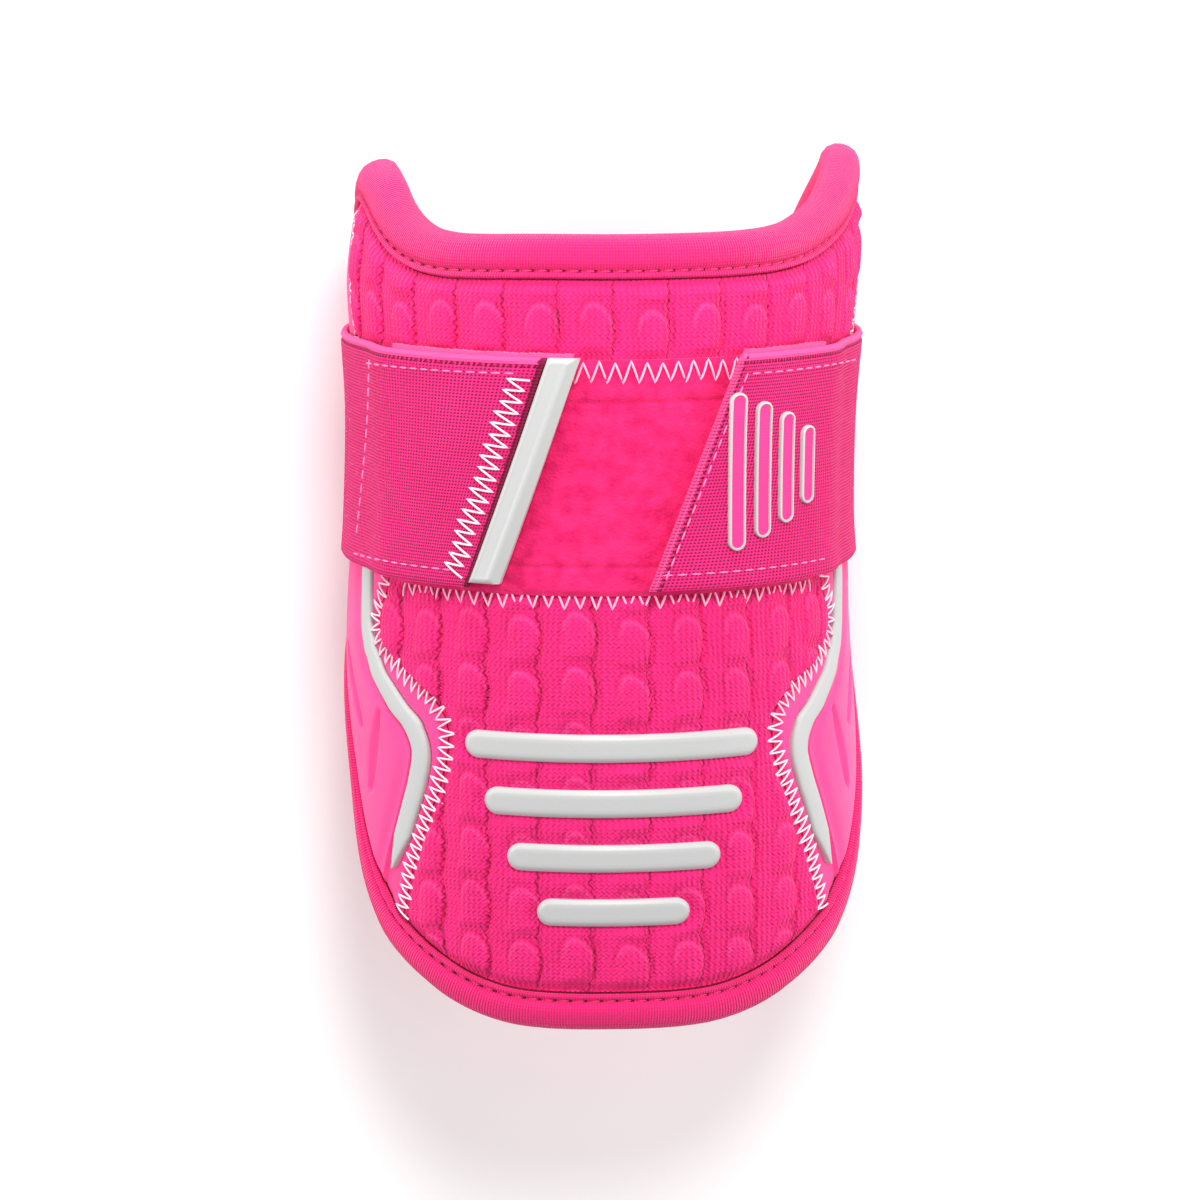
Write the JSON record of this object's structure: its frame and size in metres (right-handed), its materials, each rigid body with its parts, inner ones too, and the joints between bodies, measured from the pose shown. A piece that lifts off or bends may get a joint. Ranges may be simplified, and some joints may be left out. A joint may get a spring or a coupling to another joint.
{
  "type": "batter's elbow guard",
  "caption": "Padded half sleeve elbow guard with knit face, taped rim, side strips and one elastic strap closed with hook and loop on the face.",
  "frame": {"origin": "centre of the strap's flat back stretch, on its outer face, which the guard lies on", "axes": "+Z out of the guard's face, up as it lies; +Y along the arm towards the guard's upper end; +X to the right as the face is looked at with the upper end up"},
  "size_m": [0.1168, 0.1916, 0.1019],
  "materials": {
    "foam": "foam faced with smooth pink fabric",
    "lining": "smooth brushed pink lining",
    "knit": "hot pink three-dimensional mesh knit",
    "side_fabric": "hot pink fabric, heat moulded",
    "binding_tape": "pink ribbed binding tape",
    "loop_pile": "pink brushed loop pile",
    "hook_pile": "pink hook tape",
    "elastic_web": "deep pink woven elastic",
    "silver_rubber": "silver-white moulded rubber, satin",
    "badge_rubber": "pink moulded rubber with a white edge, satin"
  },
  "bodies": {
    "root": {"foam_shell": "foam", "inner_lining": "lining", "knit_panel": "knit", "side_panel_left": "side_fabric", "side_panel_right": "side_fabric", "side_strip_left": "silver_rubber", "side_strip_right": "silver_rubber", "rim_binding": "binding_tape", "loop_patch": "loop_pile", "hook_pad_left": "hook_pile", "hook_pad_right": "hook_pile", "strap_band": "elastic_web", "pull_tab": "silver_rubber", "face_bar_1": "silver_rubber", "face_bar_2": "silver_rubber", "face_bar_3": "silver_rubber", "face_bar_4": "silver_rubber", "strap_bar_1": "badge_rubber", "strap_bar_2": "badge_rubber", "strap_bar_3": "badge_rubber", "strap_bar_4": "badge_rubber"}
  },
  "joints": []
}
